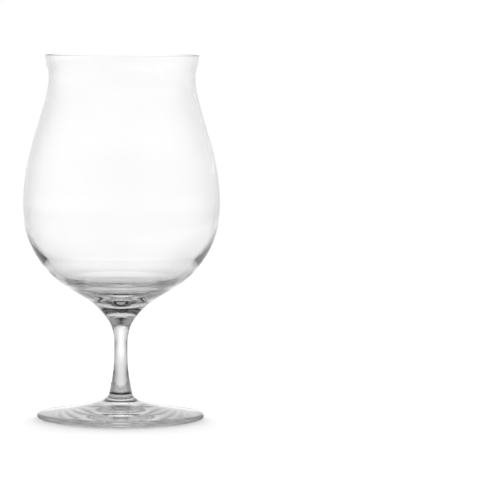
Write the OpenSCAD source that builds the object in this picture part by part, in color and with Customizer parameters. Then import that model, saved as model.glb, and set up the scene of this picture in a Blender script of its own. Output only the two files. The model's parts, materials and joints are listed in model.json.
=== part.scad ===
// Tulip beer glass: a blown bowl, a solid stem and a disc foot, fused end to end.
// The origin is on the axis, in the plane that the foot stands on. +Z is up, lengths are millimetres.

/* [Bowl] */
// Outer diameter of the rim
rim_d = 70; // [62:0.5:80]
// Outer diameter of the neck, the narrowest place below the rim
neck_d = 67.2; // [58:0.2:76]
// Outer diameter of the belly, the widest place
belly_d = 90; // [80:0.5:102]
// Outer diameter of the shoulder, where the round bowl turns into the flare of its base
shoulder_d = 47.2; // [38:0.2:54]
// Height of the rim above the neck
rim_h = 10.2; // [6:0.2:20]
// Height of the neck above the belly
neck_h = 56.8; // [40:0.2:75]
// Height of the belly above the shoulder
belly_h = 38.6; // [30:0.2:48]
// Height of the shoulder above the joint with the stem
shoulder_h = 15.6; // [10:0.2:22]
// Slope of the shoulder from the horizontal, in degrees
shoulder_slope = 30.5; // [20:0.5:40]
// Wall at the rim, whose lip is flat on top
rim_wall = 1.1; // [0.8:0.1:2]
// Radius of the lip's rounded edges
lip_edge_r = 0.3; // [0.2:0.05:0.35]
// Wall at the neck
neck_wall = 1.2; // [0.8:0.1:2.5]
// Wall at the belly
belly_wall = 1.2; // [0.8:0.1:2]
// Wall at the heel, where the thin side starts to thicken into the base
heel_wall = 1.95; // [1.5:0.05:2.5]
// Turn of the inside at the heel towards the axis, from the way of the outside, in degrees
heel_turn = 5; // [2:0.5:8]
// Inner diameter at the edge of the floor
floor_edge_d = 49.2; // [44:0.2:54]
// Height of the floor's edge above the shoulder
floor_edge_h = 4.15; // [3.5:0.05:8]
// Slope of the floor at its edge, from the horizontal, in degrees
floor_slope = 25; // [18:0.5:32]
// Diameter of the shelf, the nearly level ring of the floor round the dish
shelf_d = 36.6; // [30:0.2:40]
// Height of the shelf above the edge of the dish
shelf_h = 3.55; // [2.5:0.05:5]
// Slope of the shelf from the horizontal, in degrees
shelf_slope = 7; // [0.5:0.5:15]
// Diameter of the dish in the middle of the floor
dish_d = 18.8; // [14:0.2:24]
// Slope of the dish at its edge, from the horizontal, in degrees
dish_slope = 16.5; // [8:0.5:24]
// Depth of the dish
dish_h = 2.4; // [1:0.05:3]
// Height of the solid base, from the joint with the stem to the middle of the dish
solid_h = 10.65; // [9:0.05:12]

/* [Stem] */
// Diameter of the joint between bowl and stem
bowl_joint_d = 10.2; // [8:0.2:14]
// Slope of the side at the joint between bowl and stem, from the horizontal, in degrees
bowl_joint_slope = 57.5; // [45:0.5:75]
// Diameter of the waist, the thinnest place
waist_d = 6; // [5:0.1:8]
// Height of the joint with the bowl above the waist
stem_top_h = 9.9; // [6:0.1:30]
// Height of the waist above the joint with the foot
stem_low_h = 22.1; // [10:0.1:60]
// Diameter of the joint between stem and foot
foot_joint_d = 10.4; // [8:0.2:16]
// Slope of the side at the joint between stem and foot, from the horizontal, in degrees
foot_joint_slope = 79; // [65:0.5:85]

/* [Foot] */
// Outer diameter of the foot
foot_d = 75.5; // [60:0.5:90]
// Height of the joint with the stem above the table
foot_h = 11.4; // [8:0.1:16]
// Radius of the round outer edge
foot_edge_r = 1.25; // [0.8:0.05:2]
// Slope of the foot's top at its outer edge, from the horizontal, in degrees
foot_top_slope = 10; // [5:0.5:14]
// Width of the flat ring that the foot stands on
foot_ring_w = 3; // [1.5:0.25:6]
// Height of the hollow under the foot, at its middle
foot_hollow_h = 1.2; // [0.4:0.1:2]

/* [Hidden] */
$fn = 128;

// Straight pieces in each curve, and in each rounded edge, of an outline
curve_steps = 16;
edge_steps = 8;

// Handle lengths at the start and end of each curve, as shares of its chord
lip_handle_shares = [0.4, 0.4];
upper_handle_shares = [0.22, 0.42];
lower_handle_shares = [0.43, 0.28];
flare_handle_shares = [0.48, 0.37];
side_handle_shares = [0.403, 0.302];
heel_handle_shares = [0.346, 0.334];
floor_handle_shares = [0.238, 0.359];
step_handle_shares = [0.423, 0.237];
dish_handle_shares = [0.49, 0.35];
stem_top_handle_shares = [0.22, 0.37];
stem_low_handle_shares = [0.48, 0.47];
foot_top_handle_shares = [0.12, 0.75];

// Place of the heel along the outside of the lower bowl, as a share of the way from belly to shoulder
heel_share = 0.51;

// Heights above the table, stacked from the foot up
foot_joint_z = foot_h;
waist_z = foot_joint_z + stem_low_h;
bowl_joint_z = waist_z + stem_top_h;
shoulder_z = bowl_joint_z + shoulder_h;
belly_z = shoulder_z + belly_h;
neck_z = belly_z + neck_h;
rim_z = neck_z + rim_h;

// Turning points of the outside, each as radius and height
rim_point = [rim_d / 2, rim_z - lip_edge_r];
neck_point = [neck_d / 2, neck_z];
belly_point = [belly_d / 2, belly_z];
shoulder_point = [shoulder_d / 2, shoulder_z];
bowl_joint_point = [bowl_joint_d / 2, bowl_joint_z];
waist_point = [waist_d / 2, waist_z];
foot_joint_point = [foot_joint_d / 2, foot_joint_z];

// Directions of travel along an outline, which is followed downwards
straight_down = [0, -1];
to_axis = [-1, 0];
function inwards_down(slope) = [-cos(slope), -sin(slope)];
function outwards_down(slope) = [cos(slope), -sin(slope)];

// A direction of travel, turned towards the axis by an angle
function turned_in(way, angle) =
    [way.x * cos(angle) + way.y * sin(angle), way.y * cos(angle) - way.x * sin(angle)];

// A cubic curve, as its control points, that leaves start along one direction and reaches end along another
function curve(start, start_way, end, end_way, handle_shares) =
    let (chord = norm(end - start))
    [start, start + start_way * chord * handle_shares[0], end - end_way * chord * handle_shares[1], end];

// The point at u on a curve, where u runs from 0 to 1
function point_at(c, u) =
    c[0] * pow(1 - u, 3) + c[1] * 3 * u * pow(1 - u, 2) + c[2] * 3 * pow(u, 2) * (1 - u) + c[3] * pow(u, 3);

// The direction of travel at u on a curve
function way_at(c, u) =
    let (d = (c[1] - c[0]) * pow(1 - u, 2) + (c[2] - c[1]) * 2 * u * (1 - u) + (c[3] - c[2]) * pow(u, 2))
    d / norm(d);

// The point at u on the inner face of a wall that follows a curve and eases from one thickness to another
function inner_at(c, walls, u) =
    let (way = way_at(c, u), wall = walls[0] + (walls[1] - walls[0]) * pow(u, 2) * (3 - 2 * u))
    point_at(c, u) + [way.y, -way.x] * wall;

// The points of a curve, and of the inner face of its wall, after the first one
function run(c) = [for (i = [1 : curve_steps]) point_at(c, i / curve_steps)];
function inner_run(c, walls) = [for (i = [1 : curve_steps]) inner_at(c, walls, i / curve_steps)];

// The points of an arc about a centre, from one angle to another
function arc(centre, radius, from, to) =
    [for (i = [0 : edge_steps])
        let (angle = from + (to - from) * i / edge_steps)
        centre + radius * [cos(angle), sin(angle)]];

function reversed(points) = [for (i = [len(points) - 1 : -1 : 0]) points[i]];

// Outside of the bowl, from the rim down to its joint with the stem
lip_curve = curve(rim_point, straight_down, neck_point, straight_down, lip_handle_shares);
upper_curve = curve(neck_point, straight_down, belly_point, straight_down, upper_handle_shares);
lower_curve = curve(belly_point, straight_down, shoulder_point, inwards_down(shoulder_slope),
    lower_handle_shares);
flare_curve = curve(shoulder_point, inwards_down(shoulder_slope), bowl_joint_point,
    inwards_down(bowl_joint_slope), flare_handle_shares);

// Inside of the lower bowl: the thin side, the heel, the floor down to its shelf, the step and the dish
belly_inner_point = belly_point - [belly_wall, 0];
floor_edge_point = [floor_edge_d / 2, shoulder_z + floor_edge_h];
heel_point = inner_at(lower_curve, [heel_wall, heel_wall], heel_share);
heel_way = turned_in(way_at(lower_curve, heel_share), heel_turn);
dish_middle_point = [0, bowl_joint_z + solid_h];
dish_edge_point = dish_middle_point + [dish_d / 2, dish_h];
shelf_point = [shelf_d / 2, dish_edge_point.y + shelf_h];
side_curve = curve(belly_inner_point, straight_down, heel_point, heel_way, side_handle_shares);
heel_curve = curve(heel_point, heel_way, floor_edge_point, inwards_down(floor_slope), heel_handle_shares);
floor_curve = curve(floor_edge_point, inwards_down(floor_slope), shelf_point, inwards_down(shelf_slope),
    floor_handle_shares);
step_curve = curve(shelf_point, inwards_down(shelf_slope), dish_edge_point, inwards_down(dish_slope),
    step_handle_shares);
dish_curve = curve(dish_edge_point, inwards_down(dish_slope), dish_middle_point, to_axis, dish_handle_shares);

// Outside of the stem
stem_top_curve = curve(bowl_joint_point, inwards_down(bowl_joint_slope), waist_point, straight_down,
    stem_top_handle_shares);
stem_low_curve = curve(waist_point, straight_down, foot_joint_point, outwards_down(foot_joint_slope),
    stem_low_handle_shares);

// Foot: the round edge, the ring that it stands on, and the arc of the hollow underneath
foot_edge_centre = [foot_d / 2 - foot_edge_r, foot_edge_r];
foot_edge_top_angle = 90 - foot_top_slope;
foot_edge = arc(foot_edge_centre, foot_edge_r, foot_edge_top_angle, -90);
foot_top_curve = curve(foot_joint_point, outwards_down(foot_joint_slope), foot_edge[0],
    outwards_down(foot_top_slope), foot_top_handle_shares);
foot_ring_inner_r = foot_edge_centre.x - foot_ring_w;
foot_hollow_r = (pow(foot_ring_inner_r, 2) + pow(foot_hollow_h, 2)) / (2 * foot_hollow_h);
foot_hollow_half_angle = asin(foot_ring_inner_r / foot_hollow_r);
foot_hollow = arc([0, foot_hollow_h - foot_hollow_r], foot_hollow_r, 90 - foot_hollow_half_angle, 90);

module turned(points) {
    rotate_extrude()
        polygon(points);
}

module bowl() {
    outside = concat([rim_point], run(lip_curve), run(upper_curve), run(lower_curve), run(flare_curve));
    inside = concat(
        inner_run(lip_curve, [rim_wall, neck_wall]),
        inner_run(upper_curve, [neck_wall, belly_wall]),
        run(side_curve),
        run(heel_curve),
        run(floor_curve),
        run(step_curve),
        run(dish_curve));
    lip_inner_edge = arc(rim_point + [lip_edge_r - rim_wall, 0], lip_edge_r, 180, 90);
    lip_outer_edge = arc(rim_point - [lip_edge_r, 0], lip_edge_r, 90, 0);
    lip_outer_top = [for (i = [0 : edge_steps - 1]) lip_outer_edge[i]];
    color("gainsboro", 0.4)
        turned(concat(outside, [[0, bowl_joint_z]], reversed(inside), lip_inner_edge, lip_outer_top));
}

module stem() {
    side = concat([bowl_joint_point], run(stem_top_curve), run(stem_low_curve));
    color("lightgray", 0.5)
        turned(concat([[0, bowl_joint_z]], side, [[0, foot_joint_z]]));
}

module foot() {
    edge_after_top = [for (i = [1 : edge_steps]) foot_edge[i]];
    color("silver", 0.4)
        turned(concat([[0, foot_joint_z], foot_joint_point], run(foot_top_curve), edge_after_top, foot_hollow));
}

bowl();
stem();
foot();
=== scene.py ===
"""Tulip beer glass: three turned pieces of clear glass, shown in a white product studio."""

import json
import logging
import math
from collections.abc import Sequence
from dataclasses import dataclass
from enum import Enum

import bmesh
import bpy
from mathutils import Matrix, Vector

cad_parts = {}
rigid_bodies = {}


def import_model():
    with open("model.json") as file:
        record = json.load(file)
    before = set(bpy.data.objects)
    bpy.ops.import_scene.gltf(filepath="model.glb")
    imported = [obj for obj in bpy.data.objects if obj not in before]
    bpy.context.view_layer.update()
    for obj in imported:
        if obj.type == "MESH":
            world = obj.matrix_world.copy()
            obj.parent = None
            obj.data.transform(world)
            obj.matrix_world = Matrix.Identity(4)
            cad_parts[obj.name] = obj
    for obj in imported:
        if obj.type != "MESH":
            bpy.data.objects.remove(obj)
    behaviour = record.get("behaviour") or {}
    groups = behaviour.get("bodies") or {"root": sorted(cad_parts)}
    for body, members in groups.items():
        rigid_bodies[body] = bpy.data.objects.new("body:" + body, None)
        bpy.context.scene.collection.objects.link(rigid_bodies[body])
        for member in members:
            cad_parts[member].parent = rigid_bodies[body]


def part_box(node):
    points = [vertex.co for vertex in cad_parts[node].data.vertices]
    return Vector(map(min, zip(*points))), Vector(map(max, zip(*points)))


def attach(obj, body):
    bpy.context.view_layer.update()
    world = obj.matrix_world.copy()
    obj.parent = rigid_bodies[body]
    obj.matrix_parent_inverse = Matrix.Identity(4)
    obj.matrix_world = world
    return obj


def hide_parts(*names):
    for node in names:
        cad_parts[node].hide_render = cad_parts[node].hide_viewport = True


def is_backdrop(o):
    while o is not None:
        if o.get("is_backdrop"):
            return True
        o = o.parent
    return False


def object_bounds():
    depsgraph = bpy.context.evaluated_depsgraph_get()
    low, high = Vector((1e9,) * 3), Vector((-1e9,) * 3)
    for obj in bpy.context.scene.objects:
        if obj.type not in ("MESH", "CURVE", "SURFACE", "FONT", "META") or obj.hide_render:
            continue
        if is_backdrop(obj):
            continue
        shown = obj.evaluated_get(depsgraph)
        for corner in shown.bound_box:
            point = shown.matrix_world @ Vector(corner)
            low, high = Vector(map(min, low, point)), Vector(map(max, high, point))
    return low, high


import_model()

LOG = logging.getLogger("tulip_glass")
MM = 0.001
GLASS_BOUNCES = 24
CLEAR_BOUNCES = 128

DOWN = Vector((0.0, -1.0))
TO_AXIS = Vector((-1.0, 0.0))
Pair = tuple[float, float]
Ends = tuple[object, object]
Box = Sequence[Sequence[float]]
Socket = bpy.types.NodeSocket


def inwards_down(slope: float) -> Vector:
    """Direction, as radius and height, that falls towards the axis at a slope in degrees."""
    angle = math.radians(slope)
    return Vector((-math.cos(angle), -math.sin(angle)))


def outwards_down(slope: float) -> Vector:
    """Direction, as radius and height, that falls away from the axis at a slope in degrees."""
    angle = math.radians(slope)
    return Vector((math.cos(angle), -math.sin(angle)))


def arc(centre: Vector, radius: float, start: float, end: float, steps: int) -> list[Vector]:
    """Points of an arc about a centre, in the plane of radius and height.

    Args:
        centre: Centre of the arc.
        radius: Radius of the arc.
        start: Angle of the first point, in degrees.
        end: Angle of the last point, in degrees.
        steps: Number of straight pieces.

    Returns:
        The points, first and last included.
    """
    angles = [math.radians(start + (end - start) * i / steps) for i in range(steps + 1)]
    return [centre + radius * Vector((math.cos(a), math.sin(a))) for a in angles]


@dataclass(frozen=True)
class SideCurve:
    """One cubic stretch of a turned outline, followed from the rim towards the foot."""

    start: Vector
    start_handle: Vector
    end_handle: Vector
    end: Vector

    @classmethod
    def between(cls, start: Vector, start_way: Vector, end: Vector, end_way: Vector,
                handle_shares: Pair) -> "SideCurve":
        """Curve that leaves one point and reaches another along set directions.

        Args:
            start: First point, as radius and height.
            start_way: Unit direction of travel at the first point.
            end: Last point.
            end_way: Unit direction of travel at the last point.
            handle_shares: Handle lengths at both ends, as shares of the chord.

        Returns:
            The curve.
        """
        chord = (end - start).length
        return cls(start, start + start_way * chord * handle_shares[0],
                   end - end_way * chord * handle_shares[1], end)

    def point(self, u: float) -> Vector:
        """Point at u, which runs from 0 to 1 along the curve."""
        v = 1 - u
        return (self.start * v ** 3 + self.start_handle * 3 * u * v ** 2
                + self.end_handle * 3 * u ** 2 * v + self.end * u ** 3)

    def way(self, u: float) -> Vector:
        """Direction of travel at u.

        Args:
            u: Place along the curve, from 0 to 1.

        Returns:
            The unit direction, as radius and height.
        """
        v = 1 - u
        return ((self.start_handle - self.start) * v ** 2
                + (self.end_handle - self.start_handle) * 2 * u * v
                + (self.end - self.end_handle) * u ** 2).normalized()

    def inner(self, u: float, walls: Pair) -> Vector:
        """Point on the inner face of a wall that follows the curve.

        Args:
            u: Place along the curve, from 0 to 1.
            walls: Wall thickness at the start and at the end, eased in between.

        Returns:
            The point, as radius and height.
        """
        way = self.way(u)
        wall = walls[0] + (walls[1] - walls[0]) * u ** 2 * (3 - 2 * u)
        return self.point(u) + Vector((way.y, -way.x)) * wall

    def run(self, steps: int) -> list[Vector]:
        """Points of the curve after its first one."""
        return [self.point(i / steps) for i in range(1, steps + 1)]

    def inner_run(self, steps: int, walls: Pair) -> list[Vector]:
        """Points of the wall's inner face after its first one."""
        return [self.inner(i / steps, walls) for i in range(1, steps + 1)]


class Ease(Enum):
    """How a value is carried from one range to another."""

    EVEN = "LINEAR"
    SOFT = "SMOOTHSTEP"


class NodeDesk:
    """Places and links nodes in one tree."""

    def __init__(self, tree: bpy.types.NodeTree) -> None:
        """Work on a tree."""
        self.nodes = tree.nodes
        self.links = tree.links

    def feed(self, slot: Socket, value: object) -> None:
        """Link a socket to a slot, or set the slot to a plain value."""
        if isinstance(value, Socket):
            self.links.new(value, slot)
        else:
            slot.default_value = value

    def add(self, kind: str, **fed: object) -> bpy.types.Node:
        """Place a node and feed its inputs.

        Args:
            kind: Type of the node.
            fed: Sockets or values by input, with an underscore for each space in its name.

        Returns:
            The new node.
        """
        made = self.nodes.new(kind)
        for name, value in fed.items():
            self.feed(made.inputs[name.replace("_", " ")], value)
        return made

    def calc(self, operation: str, *values: object) -> Socket:
        """Place a Math node.

        Args:
            operation: Name of the operation.
            values: Sockets or numbers that it works on.

        Returns:
            The result socket.
        """
        made = self.nodes.new("ShaderNodeMath")
        made.operation = operation
        for slot, value in zip(made.inputs, values):
            self.feed(slot, value)
        return made.outputs[0]

    def spread(self, value: Socket, start: Ends, end: Ends = (0.0, 1.0), ease: Ease = Ease.EVEN) -> Socket:
        """Carry a value from one range to another, held at its ends.

        Args:
            value: Socket with the value.
            start: Ends of the first range, as sockets or numbers.
            end: Ends of the second range.
            ease: How it is carried.

        Returns:
            The result socket.
        """
        made = self.add("ShaderNodeMapRange", Value=value, From_Min=start[0], From_Max=start[1],
                        To_Min=end[0], To_Max=end[1])
        made.interpolation_type = ease.value
        return made.outputs[0]

    def vector(self, x: object, y: object, z: object) -> Socket:
        """Join three sockets or numbers into a vector."""
        return self.add("ShaderNodeCombineXYZ", X=x, Y=y, Z=z).outputs[0]

    def apart(self, vector: Socket) -> bpy.types.NodeOutputs:
        """Split a vector into its X, Y and Z sockets."""
        return self.add("ShaderNodeSeparateXYZ", Vector=vector).outputs

    def outward(self, part: bpy.types.NodeOutputs) -> Socket:
        """Distance of a split place from the Z axis."""
        squares = [self.calc("MULTIPLY", part[name], part[name]) for name in ("X", "Y")]
        return self.calc("SQRT", self.calc("ADD", *squares))


class TurningTree:
    """Geometry Nodes tree that turns an outline about the Z axis into a closed glass piece."""

    JOINT_REACH = 0.002 * MM
    WELD = 0.001 * MM
    SHARP_ANGLE = math.radians(20.0)
    HALF_STEP = 0.5

    def __init__(self) -> None:
        """Build the tree once, for all turned pieces."""
        self.tree = bpy.data.node_groups.new("turned_glass", "GeometryNodeTree")
        self.desk = NodeDesk(self.tree)
        self.ids: dict[str, str] = {}
        self._sockets()
        given = self.desk.add("NodeGroupInput").outputs
        piece = self._dressed(self._shaded(self._turned(given)), given)
        self.desk.add("NodeGroupOutput", Piece=piece)

    def _sockets(self) -> None:
        """Make the tree's named inputs and its output."""
        face = self.tree.interface
        wanted = {"Outline": "NodeSocketGeometry", "Segments": "NodeSocketInt",
                  "Upper Joint": "NodeSocketFloat", "Lower Joint": "NodeSocketFloat",
                  "Glass": "NodeSocketMaterial", "Joint": "NodeSocketMaterial"}
        for name, kind in wanted.items():
            self.ids[name] = face.new_socket(name, in_out="INPUT", socket_type=kind).identifier
        face.new_socket("Piece", in_out="OUTPUT", socket_type="NodeSocketGeometry")

    def _turned(self, given: bpy.types.NodeOutputs) -> Socket:
        """Turn the outline about the Z axis, with one row of a grid for each of its points.

        Args:
            given: The tree's inputs.

        Returns:
            The socket with the welded mesh.
        """
        desk, calc = self.desk, self.desk.calc
        count = desk.add("GeometryNodeAttributeDomainSize", Geometry=given["Outline"])
        columns = calc("ADD", given["Segments"], 1.0)
        grid = desk.add("GeometryNodeMeshGrid", Vertices_X=count.outputs["Point Count"], Vertices_Y=columns)
        index = desk.add("GeometryNodeInputIndex").outputs[0]
        row = calc("FLOOR", calc("DIVIDE", calc("ADD", index, self.HALF_STEP), columns))
        column = calc("SUBTRACT", index, calc("MULTIPLY", row, columns))
        picked = desk.add("GeometryNodeSampleIndex")
        picked.data_type = "FLOAT_VECTOR"
        desk.feed(picked.inputs["Geometry"], given["Outline"])
        desk.feed(picked.inputs["Value"], desk.add("GeometryNodeInputPosition").outputs[0])
        desk.feed(picked.inputs["Index"], row)
        point = desk.apart(picked.outputs["Value"])
        turn = calc("MULTIPLY", calc("DIVIDE", column, given["Segments"]), math.tau)
        place = desk.vector(calc("MULTIPLY", point["X"], calc("COSINE", turn)),
                            calc("MULTIPLY", point["X"], calc("SINE", turn)), point["Z"])
        turned = desk.add("GeometryNodeSetPosition", Geometry=grid.outputs["Mesh"], Position=place)
        welded = desk.add("GeometryNodeMergeByDistance", Geometry=turned.outputs[0], Distance=self.WELD)
        return welded.outputs[0]

    def _shaded(self, mesh: Socket) -> Socket:
        """Shade a mesh smooth, apart from its sharp edges.

        Args:
            mesh: Socket with the mesh.

        Returns:
            The socket with the shaded mesh.
        """
        desk = self.desk
        smooth = desk.add("GeometryNodeSetShadeSmooth", Geometry=mesh)
        bend = desk.add("GeometryNodeInputMeshEdgeAngle").outputs["Unsigned Angle"]
        sharp = desk.add("GeometryNodeSetShadeSmooth", Geometry=smooth.outputs[0], Shade_Smooth=False,
                         Selection=desk.calc("GREATER_THAN", bend, self.SHARP_ANGLE))
        sharp.domain = "EDGE"
        return sharp.outputs[0]

    def _dressed(self, mesh: Socket, given: bpy.types.NodeOutputs) -> Socket:
        """Give a mesh its glass, and its fused faces a material of their own.

        Args:
            mesh: Socket with the mesh.
            given: The tree's inputs.

        Returns:
            The socket with the dressed mesh.
        """
        desk, calc = self.desk, self.desk.calc
        whole = desk.add("GeometryNodeRealizeInstances", Geometry=mesh)
        glass = desk.add("GeometryNodeSetMaterial", Geometry=whole.outputs[0], Material=given["Glass"])
        height = desk.apart(desk.add("GeometryNodeInputPosition").outputs[0])["Z"]
        near = [calc("LESS_THAN", calc("ABSOLUTE", calc("SUBTRACT", height, given[name])), self.JOINT_REACH)
                for name in ("Upper Joint", "Lower Joint")]
        fused = desk.add("GeometryNodeSetMaterial", Geometry=glass.outputs[0], Material=given["Joint"],
                         Selection=calc("MAXIMUM", *near))
        return fused.outputs[0]

    def turn(self, name: str, outline: list[Vector], segments: int, joints: Pair,
             glass: bpy.types.Material, joint: bpy.types.Material) -> bpy.types.Object:
        """Turn an outline into a plain, closed mesh object.

        Args:
            name: Name of the piece.
            outline: Points as radius and height, from axis to axis.
            segments: Number of steps around the axis.
            joints: Heights of the upper and lower fused faces.
            glass: Material of the piece.
            joint: Material of its fused faces.

        Returns:
            The new object, at the origin.
        """
        seed = bpy.data.meshes.new(name)
        seed.from_pydata([(p.x, 0.0, p.y) for p in outline], [], [])
        piece = bpy.data.objects.new(name, seed)
        bpy.context.scene.collection.objects.link(piece)
        modifier = piece.modifiers.new("turning", "NODES")
        modifier.node_group = self.tree
        values = {"Segments": segments, "Upper Joint": joints[0], "Lower Joint": joints[1],
                  "Glass": glass, "Joint": joint}
        for key, value in values.items():
            modifier[self.ids[key]] = value
        layer = bpy.context.evaluated_depsgraph_get()
        made = bpy.data.meshes.new_from_object(piece.evaluated_get(layer), depsgraph=layer)
        piece.modifiers.clear()
        piece.data = made
        made.name = name
        bpy.data.meshes.remove(seed)
        return piece


class FlowGroup:
    """Node group with the faint traces that hand-worked glass keeps from the melt, and painted shade that
    darkens a piece's tint below a set height.
    """

    INPUTS = {"Ring Scale": 60.0, "Cord Scale": 24.0, "Cord Stretch": 0.12, "Tone": 1.0,
              "Tone Spread": 0.02, "Painted Shade Tone": 1.0, "Painted Shade Low": 0.0, "Painted Shade High": 0.01}
    OUTPUTS = {"Color": "NodeSocketColor", "Roughness": "NodeSocketFloat", "Height": "NodeSocketFloat"}
    CORD_DETAIL = 2.0
    RING_DETAIL = 1.0
    CORD_RANGE = (0.3, 0.7)
    ROUGHNESS_RANGE = (0.004, 0.02)
    EVEN_SHARE = 0.5

    def __init__(self) -> None:
        """Build the group once, for all pieces."""
        self.tree = bpy.data.node_groups.new("glass_flow", "ShaderNodeTree")
        face = self.tree.interface
        for name, value in self.INPUTS.items():
            face.new_socket(name, in_out="INPUT", socket_type="NodeSocketFloat").default_value = value
        for name, kind in self.OUTPUTS.items():
            face.new_socket(name, in_out="OUTPUT", socket_type=kind)
        self._nodes()

    def _nodes(self) -> None:
        """Place and link the nodes."""
        desk = NodeDesk(self.tree)
        given = desk.add("NodeGroupInput").outputs
        part = desk.apart(desk.add("ShaderNodeTexCoord").outputs["Object"])
        drawn_out = desk.calc("MULTIPLY", part["Z"], given["Cord Stretch"])
        stretched = desk.vector(part["X"], part["Y"], drawn_out)
        cords = desk.add("ShaderNodeTexNoise", Vector=stretched, Scale=given["Cord Scale"],
                         Detail=self.CORD_DETAIL).outputs["Fac"]
        along = desk.vector(desk.outward(part), 0.0, part["Z"])
        rings = desk.add("ShaderNodeTexNoise", Vector=along, Scale=given["Ring Scale"],
                         Detail=self.RING_DETAIL).outputs["Fac"]
        height = desk.calc("MULTIPLY", desk.calc("ADD", cords, rings), self.EVEN_SHARE)
        rough = desk.spread(cords, self.CORD_RANGE, self.ROUGHNESS_RANGE)
        tint = desk.calc("SUBTRACT", given["Tone"], desk.calc("MULTIPLY", rings, given["Tone Spread"]))
        # Painted shade: the tint is darkest below the lower height and clears by the upper one.
        thick = desk.spread(part["Z"], (given["Painted Shade Low"], given["Painted Shade High"]),
                            (given["Painted Shade Tone"], 1.0), Ease.SOFT)
        tone = desk.calc("MULTIPLY", tint, thick)
        shade = desk.add("ShaderNodeCombineColor", Red=tone, Green=tone, Blue=tone)
        desk.add("NodeGroupOutput", Color=shade.outputs[0], Roughness=rough, Height=height)


@dataclass(frozen=True)
class GlassFinish:
    """A clear, colourless glass with faint flow lines, and painted shade that darkens its tint low in the
    piece, over a thick base.
    """

    name: str
    flow: FlowGroup
    tone: float
    painted_shade_tone: float
    painted_shade_heights: Pair
    wave: float = 0.0006 * MM
    ior: float = 1.52

    def material(self) -> bpy.types.Material:
        """Make the glass material.

        Returns:
            The new material.
        """
        made = bpy.data.materials.new(self.name)
        made.use_nodes = True
        desk = NodeDesk(made.node_tree)
        traces = desk.add("ShaderNodeGroup")
        traces.node_tree = self.flow.tree
        traces.inputs["Tone"].default_value = self.tone
        traces.inputs["Painted Shade Tone"].default_value = self.painted_shade_tone
        traces.inputs["Painted Shade Low"].default_value = self.painted_shade_heights[0]
        traces.inputs["Painted Shade High"].default_value = self.painted_shade_heights[1]
        ripple = desk.add("ShaderNodeBump", Distance=self.wave, Height=traces.outputs["Height"])
        shader = desk.nodes["Principled BSDF"]
        shader.inputs["IOR"].default_value = self.ior
        shader.inputs["Transmission Weight"].default_value = 1.0
        desk.feed(shader.inputs["Base Color"], traces.outputs["Color"])
        desk.feed(shader.inputs["Roughness"], traces.outputs["Roughness"])
        desk.feed(shader.inputs["Normal"], ripple.outputs["Normal"])
        return made


@dataclass(frozen=True)
class JointFinish:
    """A fused joint inside the glass, where light goes straight on."""

    name: str = "fused_joint"

    def material(self) -> bpy.types.Material:
        """Make the joint material.

        Returns:
            The new material.
        """
        made = bpy.data.materials.new(self.name)
        made.use_nodes = True
        made.node_tree.nodes["Principled BSDF"].inputs["Alpha"].default_value = 0.0
        return made


@dataclass
class TurnedPiece:
    """A piece of the glass that is turned about the Z axis."""

    tree: TurningTree
    flow: FlowGroup
    joint: bpy.types.Material
    name: str = ""
    slot: str = ""
    segments: int = 192
    curve_steps: int = 40
    edge_steps: int = 12
    shades_floor: bool = False
    tone: float = 1.0
    # Painted shade low in the piece: the darkest tint, and the rises above the lower joint over which it
    # clears.
    painted_shade_tone: float = 1.0
    painted_shade_rises: Pair = (0.0, 10.0 * MM)
    NO_JOINT = -1.0

    def outline(self) -> list[Vector]:
        """Outline of the piece, from axis to axis."""
        raise NotImplementedError

    def joints(self) -> Pair:
        """Heights of the upper and the lower fused face."""
        raise NotImplementedError

    def node(self) -> str:
        """Name of the CAD node that the piece stands for."""
        return self.name.removeprefix("glass_")

    def finish(self) -> GlassFinish:
        """Finish of the piece, with painted shade low down, where its glass is thick."""
        low, high = (self.joints()[1] + rise for rise in self.painted_shade_rises)
        return GlassFinish(self.slot, self.flow, self.tone, self.painted_shade_tone, (low, high))

    def build(self) -> bpy.types.Object:
        """Turn the piece, dress it and let it stand for its CAD node.

        Returns:
            The finished piece.
        """
        piece = self.tree.turn(self.name, self.outline(), self.segments, self.joints(),
                               self.finish().material(), self.joint)
        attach(piece, "root")
        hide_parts(self.node())
        piece.visible_diffuse = self.shades_floor
        piece.visible_shadow = self.shades_floor
        return piece


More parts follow.
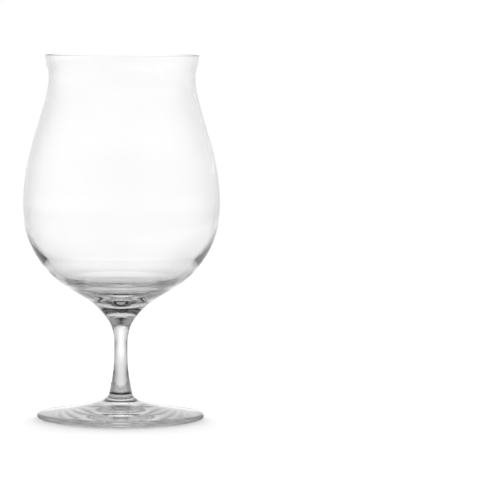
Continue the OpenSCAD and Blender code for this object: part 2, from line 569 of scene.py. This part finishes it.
@dataclass
class Bowl(TurnedPiece):
    """The blown tulip, from its fire-polished rim to its joint with the stem."""

    name: str = "glass_bowl"
    slot: str = "bowl_glass"
    # Painted shade: the bowl's tint is 0.72 up to 8.5 mm above the joint, over its thick base, and clears
    # by 22 mm.
    painted_shade_tone: float = 0.72
    painted_shade_rises: Pair = (8.5 * MM, 22.0 * MM)
    rim_radius: float = 35.0 * MM
    neck_radius: float = 33.6 * MM
    belly_radius: float = 45.0 * MM
    shoulder_radius: float = 23.6 * MM
    joint_radius: float = 5.1 * MM
    rim_rise: float = 10.2 * MM
    neck_rise: float = 56.8 * MM
    belly_rise: float = 38.6 * MM
    shoulder_rise: float = 15.6 * MM
    shoulder_slope: float = 30.5
    joint_slope: float = 57.5
    rim_wall: float = 1.1 * MM
    lip_edge_radius: float = 0.3 * MM
    neck_wall: float = 1.2 * MM
    belly_wall: float = 1.2 * MM
    heel_wall: float = 1.95 * MM
    heel_share: float = 0.51
    heel_turn: float = 5.0
    floor_edge_radius: float = 24.6 * MM
    floor_edge_rise: float = 4.15 * MM
    floor_slope: float = 25.0
    shelf_radius: float = 18.3 * MM
    shelf_rise: float = 3.55 * MM
    shelf_slope: float = 7.0
    dish_radius: float = 9.4 * MM
    dish_depth: float = 2.4 * MM
    dish_slope: float = 16.5
    solid_rise: float = 10.65 * MM
    lip_handle_shares: Pair = (0.4, 0.4)
    upper_handle_shares: Pair = (0.22, 0.42)
    lower_handle_shares: Pair = (0.43, 0.28)
    flare_handle_shares: Pair = (0.48, 0.37)
    side_handle_shares: Pair = (0.403, 0.302)
    heel_handle_shares: Pair = (0.346, 0.334)
    floor_handle_shares: Pair = (0.238, 0.359)
    step_handle_shares: Pair = (0.423, 0.237)
    dish_handle_shares: Pair = (0.49, 0.35)

    def joints(self) -> Pair:
        """The bowl is fused at its lowest face only."""
        return (self.NO_JOINT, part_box("bowl")[0][2])

    def _outer_curves(self) -> tuple[SideCurve, ...]:
        """Curves of the outside, from the rim to the joint.

        Returns:
            The lip, the upper side, the lower side and the flare.
        """
        base = self.joints()[1]
        shoulder_z = base + self.shoulder_rise
        belly_z = shoulder_z + self.belly_rise
        neck_z = belly_z + self.neck_rise
        rim = Vector((self.rim_radius, neck_z + self.rim_rise - self.lip_edge_radius))
        neck = Vector((self.neck_radius, neck_z))
        belly = Vector((self.belly_radius, belly_z))
        shoulder = Vector((self.shoulder_radius, shoulder_z))
        joint = Vector((self.joint_radius, base))
        shoulder_way = inwards_down(self.shoulder_slope)
        joint_way = inwards_down(self.joint_slope)
        return (SideCurve.between(rim, DOWN, neck, DOWN, self.lip_handle_shares),
                SideCurve.between(neck, DOWN, belly, DOWN, self.upper_handle_shares),
                SideCurve.between(belly, DOWN, shoulder, shoulder_way, self.lower_handle_shares),
                SideCurve.between(shoulder, shoulder_way, joint, joint_way, self.flare_handle_shares))

    def _inner_curves(self, lower: SideCurve) -> tuple[SideCurve, ...]:
        """Curves of the inside, from the belly to the middle of the dish.

        Args:
            lower: The outside from the belly to the shoulder.

        Returns:
            The side, the heel, the floor, the step and the dish.
        """
        base = self.joints()[1]
        belly = lower.start - Vector((self.belly_wall, 0.0))
        heel = lower.inner(self.heel_share, (self.heel_wall, self.heel_wall))
        floor_edge = Vector((self.floor_edge_radius, base + self.shoulder_rise + self.floor_edge_rise))
        dish_middle = Vector((0.0, base + self.solid_rise))
        dish_edge = dish_middle + Vector((self.dish_radius, self.dish_depth))
        shelf = Vector((self.shelf_radius, dish_edge.y + self.shelf_rise))
        heel_way = Matrix.Rotation(math.radians(-self.heel_turn), 2) @ lower.way(self.heel_share)
        floor_way = inwards_down(self.floor_slope)
        shelf_way = inwards_down(self.shelf_slope)
        dish_way = inwards_down(self.dish_slope)
        return (SideCurve.between(belly, DOWN, heel, heel_way, self.side_handle_shares),
                SideCurve.between(heel, heel_way, floor_edge, floor_way, self.heel_handle_shares),
                SideCurve.between(floor_edge, floor_way, shelf, shelf_way, self.floor_handle_shares),
                SideCurve.between(shelf, shelf_way, dish_edge, dish_way, self.step_handle_shares),
                SideCurve.between(dish_edge, dish_way, dish_middle, TO_AXIS, self.dish_handle_shares))

    def outline(self) -> list[Vector]:
        """Outside from rim to joint, then the axis, the floor and the inside up to the lip.

        Returns:
            The points, as radius and height.
        """
        steps = self.curve_steps
        lip, upper, lower, flare = self._outer_curves()
        rim = lip.start
        outside = [rim] + lip.run(steps) + upper.run(steps) + lower.run(steps) + flare.run(steps)
        inside = lip.inner_run(steps, (self.rim_wall, self.neck_wall))
        inside += upper.inner_run(steps, (self.neck_wall, self.belly_wall))
        for curve in self._inner_curves(lower):
            inside += curve.run(steps)
        edge = self.lip_edge_radius
        inner_edge = arc(rim + Vector((edge - self.rim_wall, 0.0)), edge, 180.0, 90.0, self.edge_steps)
        outer_edge = arc(rim - Vector((edge, 0.0)), edge, 90.0, 0.0, self.edge_steps)
        return outside + [Vector((0.0, flare.end.y))] + inside[::-1] + inner_edge + outer_edge


@dataclass
class Stem(TurnedPiece):
    """The solid, waisted stem between bowl and foot."""

    name: str = "glass_stem"
    slot: str = "stem_glass"
    tone: float = 0.97
    bowl_joint_radius: float = 5.1 * MM
    bowl_joint_slope: float = 57.5
    waist_radius: float = 3.0 * MM
    waist_rise: float = 22.1 * MM
    foot_joint_radius: float = 5.2 * MM
    foot_joint_slope: float = 79.0
    top_handle_shares: Pair = (0.22, 0.37)
    low_handle_shares: Pair = (0.48, 0.47)

    def joints(self) -> Pair:
        """The stem is fused at both ends."""
        low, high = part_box("stem")
        return (high[2], low[2])

    def outline(self) -> list[Vector]:
        """Side from the bowl joint down to the foot joint, closed at the axis.

        Returns:
            The points, as radius and height.
        """
        high, low = self.joints()
        top = Vector((self.bowl_joint_radius, high))
        waist = Vector((self.waist_radius, low + self.waist_rise))
        bottom = Vector((self.foot_joint_radius, low))
        top_way = inwards_down(self.bowl_joint_slope)
        bottom_way = outwards_down(self.foot_joint_slope)
        upper = SideCurve.between(top, top_way, waist, DOWN, self.top_handle_shares)
        lower = SideCurve.between(waist, DOWN, bottom, bottom_way, self.low_handle_shares)
        side = [top] + upper.run(self.curve_steps) + lower.run(self.curve_steps)
        return [Vector((0.0, high))] + side + [Vector((0.0, low))]


@dataclass
class Foot(TurnedPiece):
    """The disc foot: a low cone with a round edge, hollowed underneath."""

    name: str = "glass_foot"
    slot: str = "foot_glass"
    tone: float = 0.95
    shades_floor: bool = True
    joint_radius: float = 5.2 * MM
    joint_slope: float = 79.0
    foot_radius: float = 37.75 * MM
    edge_radius: float = 1.25 * MM
    top_slope: float = 10.0
    ring_width: float = 3.0 * MM
    hollow_rise: float = 1.2 * MM
    top_handle_shares: Pair = (0.12, 0.75)

    def joints(self) -> Pair:
        """The foot is fused at its highest face only."""
        return (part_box("foot")[1][2], self.NO_JOINT)

    def outline(self) -> list[Vector]:
        """Top from the joint to the edge, then the ring and the hollow back to the axis.

        Returns:
            The points, as radius and height.
        """
        high = self.joints()[0]
        joint = Vector((self.joint_radius, high))
        centre = Vector((self.foot_radius - self.edge_radius, self.edge_radius))
        edge = arc(centre, self.edge_radius, 90.0 - self.top_slope, -90.0, self.edge_steps)
        top = SideCurve.between(joint, outwards_down(self.joint_slope), edge[0],
                                outwards_down(self.top_slope), self.top_handle_shares)
        ring_inner = centre.x - self.ring_width
        hollow_radius = (ring_inner ** 2 + self.hollow_rise ** 2) / (2 * self.hollow_rise)
        half_angle = math.degrees(math.asin(ring_inner / hollow_radius))
        hollow = arc(Vector((0.0, self.hollow_rise - hollow_radius)), hollow_radius,
                     90.0 - half_angle, 90.0, self.curve_steps)
        hollow[-1].x = 0.0
        return [Vector((0.0, high)), joint] + top.run(2 * self.curve_steps) + edge[1:] + hollow


@dataclass
class PhotoCamera:
    """Camera at the photograph's viewing angle, with the glass at the left of the frame."""

    distance: float = 1.694
    height: float = 0.19
    frame_width: float = 217.3 * MM
    aim: Vector = Vector((53.7 * MM, 0.0, 81.1 * MM))
    roll: float = 0.35
    sensor_width: float = 36.0
    far_limit: float = 200.0

    def build(self) -> bpy.types.Object:
        """Make the camera and set it as the scene's.

        Returns:
            The camera object.
        """
        data = bpy.data.cameras.new("photo_camera")
        data.sensor_width = self.sensor_width
        data.clip_end = self.far_limit
        camera = bpy.data.objects.new("photo_camera", data)
        bpy.context.scene.collection.objects.link(camera)
        camera.location = (0.0, -self.distance, self.height)
        sight = self.aim - camera.location
        data.lens = data.sensor_width * sight.length / self.frame_width
        level = sight.to_track_quat("-Z", "Y").to_matrix()
        camera.rotation_euler = (level @ Matrix.Rotation(math.radians(self.roll), 3, "Z")).to_euler()
        bpy.context.scene.camera = camera
        return camera


class Blend(Enum):
    """How a falloff runs between its stops."""

    SMOOTH = "B_SPLINE"
    STRAIGHT = "LINEAR"


@dataclass(frozen=True)
class Falloff:
    """A level that changes along a range, as stops of place and level."""

    stops: tuple[Pair, ...]
    blend: Blend = Blend.SMOOTH
    MIDDLE = 0.5

    def build(self, desk: NodeDesk, place: Socket) -> Socket:
        """Place the nodes that give the level.

        Args:
            desk: Tree to work on.
            place: Socket with the place along the range.

        Returns:
            The socket with the level.
        """
        low, high = self.stops[0][0], self.stops[-1][0]
        made = desk.add("ShaderNodeValToRGB", Fac=desk.spread(place, (low, high)))
        ramp = made.color_ramp
        ramp.interpolation = self.blend.value
        while len(ramp.elements) < len(self.stops):
            ramp.elements.new(self.MIDDLE)
        for element, (spot, level) in zip(ramp.elements, self.stops):
            element.position = (spot - low) / (high - low)
            element.color = (level, level, level, 1.0)
        return made.outputs["Color"]


class Reach(Enum):
    """Which way a light changes away from the glass."""

    UPWARD = "degrees above the table"
    OUTWARD = "metres from the axis"


@dataclass(frozen=True)
class Light:
    """A soft light round the glass: its level, its change around, in degrees, and its change away."""

    level: float
    around: Falloff
    away: Falloff

    def build(self, desk: NodeDesk, turn: Socket, reach: Socket) -> Socket:
        """Place the nodes that give the light's strength.

        Args:
            desk: Tree to work on.
            turn: Socket with the place around.
            reach: Socket with the place away.

        Returns:
            The socket with the strength.
        """
        shape = desk.calc("MULTIPLY", self.around.build(desk, turn), self.away.build(desk, reach))
        return desk.calc("MULTIPLY", shape, self.level)


@dataclass
class Studio:
    """White floor, and surroundings for the glass that turn with the camera, as round a turntable."""

    camera: bpy.types.Object
    floor_radius: float = 30.0
    floor_tone: float = 0.9
    sky_level: float = 0.45
    strip_level: float = 130.0
    strip_upward: Falloff = Falloff((
        (0.04, 0.0), (0.055, 1.0), (0.1, 0.4), (0.2, 0.1), (0.4, 0.02), (0.75, 0.0)), Blend.STRAIGHT)
    strip_side: Pair = (0.55, 0.75)
    tent_radius: float = 0.75
    sheet_drop: float = 0.1 * MM
    round_steps: int = 96
    upright_steps: int = 48
    behind: Falloff = Falloff((
        (-180.0, 0.0), (-60.0, 0.0), (-40.0, 0.2), (-20.0, 0.7), (0.0, 1.0), (20.0, 0.6), (40.0, 0.2),
        (90.0, 0.0), (180.0, 0.0)))
    backdrop: Light = Light(
        1.3, behind,
        Falloff(((0.0, 1.0), (15.0, 1.0), (30.0, 0.6), (45.0, 0.0), (90.0, 0.0))))
    room_sides: Light = Light(
        1.0,
        Falloff(((-180.0, 0.0), (-80.0, 0.9), (-40.0, 0.4), (-20.0, 0.0), (20.0, 0.0), (40.0, 0.5),
                 (80.0, 0.8), (180.0, 0.0))),
        Falloff(((0.0, 0.1), (6.0, 0.7), (20.0, 0.9), (32.0, 0.2), (50.0, 1.0), (90.0, 0.2))))
    # Painted light of the table behind the glass, glowing on the table sheet, none of it within 0.04 m of
    # the axis, under the foot.
    table_behind: Light = Light(
        1.22, behind,
        Falloff(((0.04, 0.0), (0.05, 0.8), (0.15, 0.5), (0.3, 0.9), (0.75, 1.0)), Blend.STRAIGHT))
    # Painted light of the table at the sides, glowing on the table sheet, none of it within 0.06 m of the
    # axis.
    table_sides: Light = Light(
        0.8,
        Falloff(((-180.0, 0.0), (-120.0, 0.0), (-60.0, 0.9), (0.0, 0.2), (60.0, 0.9), (120.0, 0.0),
                 (180.0, 0.0))),
        Falloff(((0.06, 0.0), (0.15, 1.0), (0.4, 0.4), (0.75, 0.2)), Blend.STRAIGHT))
    # Painted light of the table under the foot's ring, glowing on the table sheet, with painted shadow
    # under the stem, within 0.015 m of the axis.
    table_middle: Light = Light(
        0.55,
        Falloff(((-180.0, 1.0), (-60.0, 1.0), (-30.0, 0.1), (0.0, 0.6), (30.0, 0.1), (60.0, 1.0),
                 (180.0, 1.0))),
        Falloff(((0.015, 0.0), (0.02, 1.0), (0.038, 0.8), (0.05, 0.0)), Blend.STRAIGHT))

    def _stage(self, name: str, shape: bmesh.types.BMesh, material: bpy.types.Material) -> bpy.types.Object:
        """Add a stage object.

        Args:
            name: Name of the object.
            shape: Its shape, which is used up.
            material: Its material.

        Returns:
            The new object.
        """
        mesh = bpy.data.meshes.new(name)
        shape.to_mesh(mesh)
        shape.free()
        made = bpy.data.objects.new(name, mesh)
        made.data.materials.append(material)
        bpy.context.scene.collection.objects.link(made)
        made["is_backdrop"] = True
        return made

    def _disc(self, radius: float) -> bmesh.types.BMesh:
        """Flat round shape at the table's height.

        Args:
            radius: Its radius.

        Returns:
            The shape.
        """
        shape = bmesh.new()
        bmesh.ops.create_circle(shape, cap_ends=True, segments=self.round_steps, radius=radius)
        return shape

    def _surround(self, made: bpy.types.Object) -> None:
        """Show a stage object to the glass only, and turn it with the camera.

        Args:
            made: The stage object.
        """
        made.visible_camera = False
        made.visible_diffuse = False
        made.visible_shadow = False
        turn = made.constraints.new("LOCKED_TRACK")
        turn.target = self.camera
        turn.track_axis = "TRACK_NEGATIVE_Y"
        turn.lock_axis = "LOCK_Z"

    def floor(self) -> None:
        """Lay the pale floor, which the glass stands on and shades but doesn't mirror."""
        paint = bpy.data.materials.new("floor_paint")
        paint.use_nodes = True
        shader = paint.node_tree.nodes["Principled BSDF"]
        shader.inputs["Base Color"].default_value = (self.floor_tone, self.floor_tone, self.floor_tone, 1.0)
        shader.inputs["Roughness"].default_value = 1.0
        shader.inputs["Specular IOR Level"].default_value = 0.0
        made = self._stage("floor", self._disc(self.floor_radius), paint)
        made.visible_transmission = False
        made.visible_glossy = False

    def sky(self) -> None:
        """White world: plain white where it is seen, soft light and a low strip behind for the floor."""
        world = bpy.data.worlds.new("white_room")
        world.use_nodes = True
        bpy.context.scene.world = world
        desk = NodeDesk(world.node_tree)
        way = desk.apart(desk.add("ShaderNodeTexCoord").outputs["Generated"])
        side = desk.spread(way["Y"], self.strip_side, ease=Ease.SOFT)
        strip = desk.calc("MULTIPLY", self.strip_upward.build(desk, way["Z"]), side)
        light = desk.calc("MULTIPLY_ADD", strip, self.strip_level, self.sky_level)
        rays = desk.add("ShaderNodeLightPath").outputs
        through = desk.calc("MAXIMUM", rays["Is Glossy Ray"], rays["Is Transmission Ray"])
        seen = desk.calc("MAXIMUM", rays["Is Camera Ray"], through)
        level = desk.add("ShaderNodeMix", Factor=seen, A=light, B=1.0)
        background = desk.nodes["Background"]
        background.inputs["Color"].default_value = (1.0, 1.0, 1.0, 1.0)
        desk.feed(background.inputs["Strength"], level.outputs["Result"])

    def _glow_paint(self, name: str, lights: tuple[Light, ...], reach: Reach) -> bpy.types.Material:
        """Material that glows with the sum of a few lights.

        Args:
            name: Name of the material.
            lights: The lights.
            reach: Which way they change away from the glass.

        Returns:
            The new material.
        """
        paint = bpy.data.materials.new(name)
        paint.use_nodes = True
        paint.cycles.emission_sampling = "NONE"
        desk = NodeDesk(paint.node_tree)
        desk.nodes.clear()
        part = desk.apart(desk.add("ShaderNodeTexCoord").outputs["Object"])
        around = desk.calc("DEGREES", desk.calc("ARCTAN2", part["X"], part["Y"]))
        away = desk.outward(part)
        if reach is Reach.UPWARD:
            away = desk.calc("DEGREES", desk.calc("ARCTAN2", part["Z"], away))
        strengths = [light.build(desk, around, away) for light in lights]
        total = strengths[0]
        for strength in strengths[1:]:
            total = desk.calc("ADD", total, strength)
        glowing = desk.add("ShaderNodeEmission", Strength=total)
        desk.add("ShaderNodeOutputMaterial", Surface=glowing.outputs[0])
        return paint

    def tent(self) -> None:
        """Hang the light tent, which only the glass sees."""
        shape = bmesh.new()
        bmesh.ops.create_uvsphere(shape, u_segments=self.round_steps, v_segments=self.upright_steps,
                                  radius=self.tent_radius)
        paint = self._glow_paint("tent_glow", (self.backdrop, self.room_sides), Reach.UPWARD)
        self._surround(self._stage("light_tent", shape, paint))

    def sheet(self) -> None:
        """Lay the glowing table sheet just under the foot, which only the glass sees: painted light of the
        lit table, with painted shadow under the foot and stem.
        """
        lights = (self.table_behind, self.table_sides, self.table_middle)
        paint = self._glow_paint("sheet_glow", lights, Reach.OUTWARD)
        made = self._stage("table_sheet", self._disc(self.tent_radius), paint)
        made.location.z = -self.sheet_drop
        self._surround(made)

    def build(self) -> None:
        """Set up the floor, the world, the tent and the sheet."""
        self.floor()
        self.sky()
        self.tent()
        self.sheet()


def set_look() -> None:
    """Plain view transform, and enough bounces for light to find its way through thick glass."""
    scene = bpy.context.scene
    scene.view_settings.view_transform = "Standard"
    scene.cycles.max_bounces = GLASS_BOUNCES
    scene.cycles.transmission_bounces = GLASS_BOUNCES
    scene.cycles.glossy_bounces = GLASS_BOUNCES
    scene.cycles.transparent_max_bounces = CLEAR_BOUNCES


def write_sizes(cad_box: Box) -> None:
    """Args:
        cad_box: Lowest and highest corner of the CAD model.
    """
    boxes = {"cad": cad_box, "visual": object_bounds()}
    plain = {key: [[float(v) for v in corner] for corner in box] for key, box in boxes.items()}


def main() -> None:
    """Build the glass and its studio."""
    logging.basicConfig(level=logging.INFO, format="%(name)s: %(message)s")
    cad_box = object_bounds()
    set_look()
    camera = PhotoCamera().build()
    Studio(camera).build()
    shared = (TurningTree(), FlowGroup(), JointFinish().material())
    for part in (Bowl(*shared), Stem(*shared), Foot(*shared)):
        piece = part.build()
        LOG.info("%s: %d faces", piece.name, len(piece.data.polygons))
    write_sizes(cad_box)


if __name__ == "__main__":
    main()
